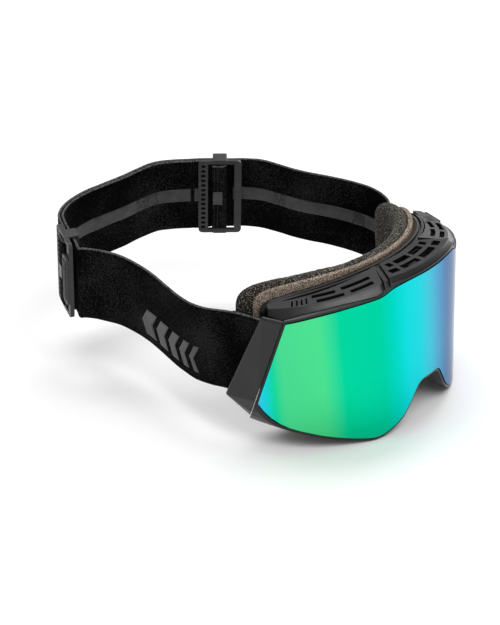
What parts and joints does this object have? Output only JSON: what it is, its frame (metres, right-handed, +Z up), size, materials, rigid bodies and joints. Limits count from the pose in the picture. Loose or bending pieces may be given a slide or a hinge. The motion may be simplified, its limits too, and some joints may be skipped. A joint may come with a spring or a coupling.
{
  "type": "motorcycle goggles",
  "caption": "Full-face off-road goggles with a wrap-round mirror lens held by magnets, a vented brow, layered face foam and an elastic strap with two sliders.",
  "frame": {"origin": "middle of the face foam's rear edge, where the goggles seal against the face", "axes": "+Z up, the lens looks along -Y and the face and strap are towards +Y, +X is the wearer's left"},
  "size_m": [0.1901, 0.2433, 0.1003],
  "materials": {
    "frame_plastic": "fine-grained moulded nylon",
    "cover_plastic": "fine-grained moulded nylon",
    "panel_plastic": "fine-grained moulded nylon",
    "soft_plate": "matte soft moulding",
    "vent_foam": "open-cell filter foam",
    "foam_base": "dark brown dense foam",
    "foam_middle": "taupe soft foam",
    "foam_fleece": "charcoal fleece",
    "magnet": "nickel plated",
    "screw": "blackened steel",
    "mirror_lens": "green to blue mirror coating",
    "gasket": "matte closed-cell gasket",
    "clear_lens": "clear",
    "strap": "black knitted elastic",
    "silicone": "satin silicone",
    "slider_plastic": "satin moulded plastic"
  },
  "bodies": {
    "frame": {"frame_chassis": "frame_plastic", "brow_visor": "cover_plastic", "brow_cover_right": "cover_plastic", "brow_cover_left": "cover_plastic", "brow_gusset_right": "panel_plastic", "brow_gusset_left": "panel_plastic", "top_vent_foam": "vent_foam", "face_plate": "soft_plate", "nose_bridge": "soft_plate", "foam_base": "foam_base", "foam_middle": "foam_middle", "foam_face": "foam_fleece", "frame_magnets": "magnet", "side_panel_right": "panel_plastic", "side_panel_left": "panel_plastic", "strap_anchor_right": "frame_plastic", "strap_anchor_left": "frame_plastic", "anchor_screws": "screw", "strap_right": "strap", "strap_left": "strap", "grip_right": "silicone", "grip_left": "silicone"},
    "lens": {"outer_lens": "mirror_lens", "lens_gasket": "gasket", "inner_lens": "clear_lens", "lens_magnets": "magnet"},
    "rear_slider": {"rear_slider": "slider_plastic", "rear_slider_tab": "slider_plastic", "rear_strap_end": "strap"},
    "side_slider": {"side_slider": "slider_plastic", "side_slider_tab": "slider_plastic", "side_strap_end": "strap"}
  },
  "joints": [
    {"name": "lens_pull", "type": "slide", "parent": "frame", "child": "lens", "axis": [0, -1, 0], "range_m": [0, 0.03]},
    {"name": "rear_slider_slide", "type": "slide", "parent": "frame", "child": "rear_slider", "axis": [0.5999, -0.7998, -0.02], "range_m": [-0.004, 0.004]},
    {"name": "side_slider_slide", "type": "slide", "parent": "frame", "child": "side_slider", "axis": [0.5766, 0.8053, 0.1382], "range_m": [-0.004, 0.004]}
  ]
}
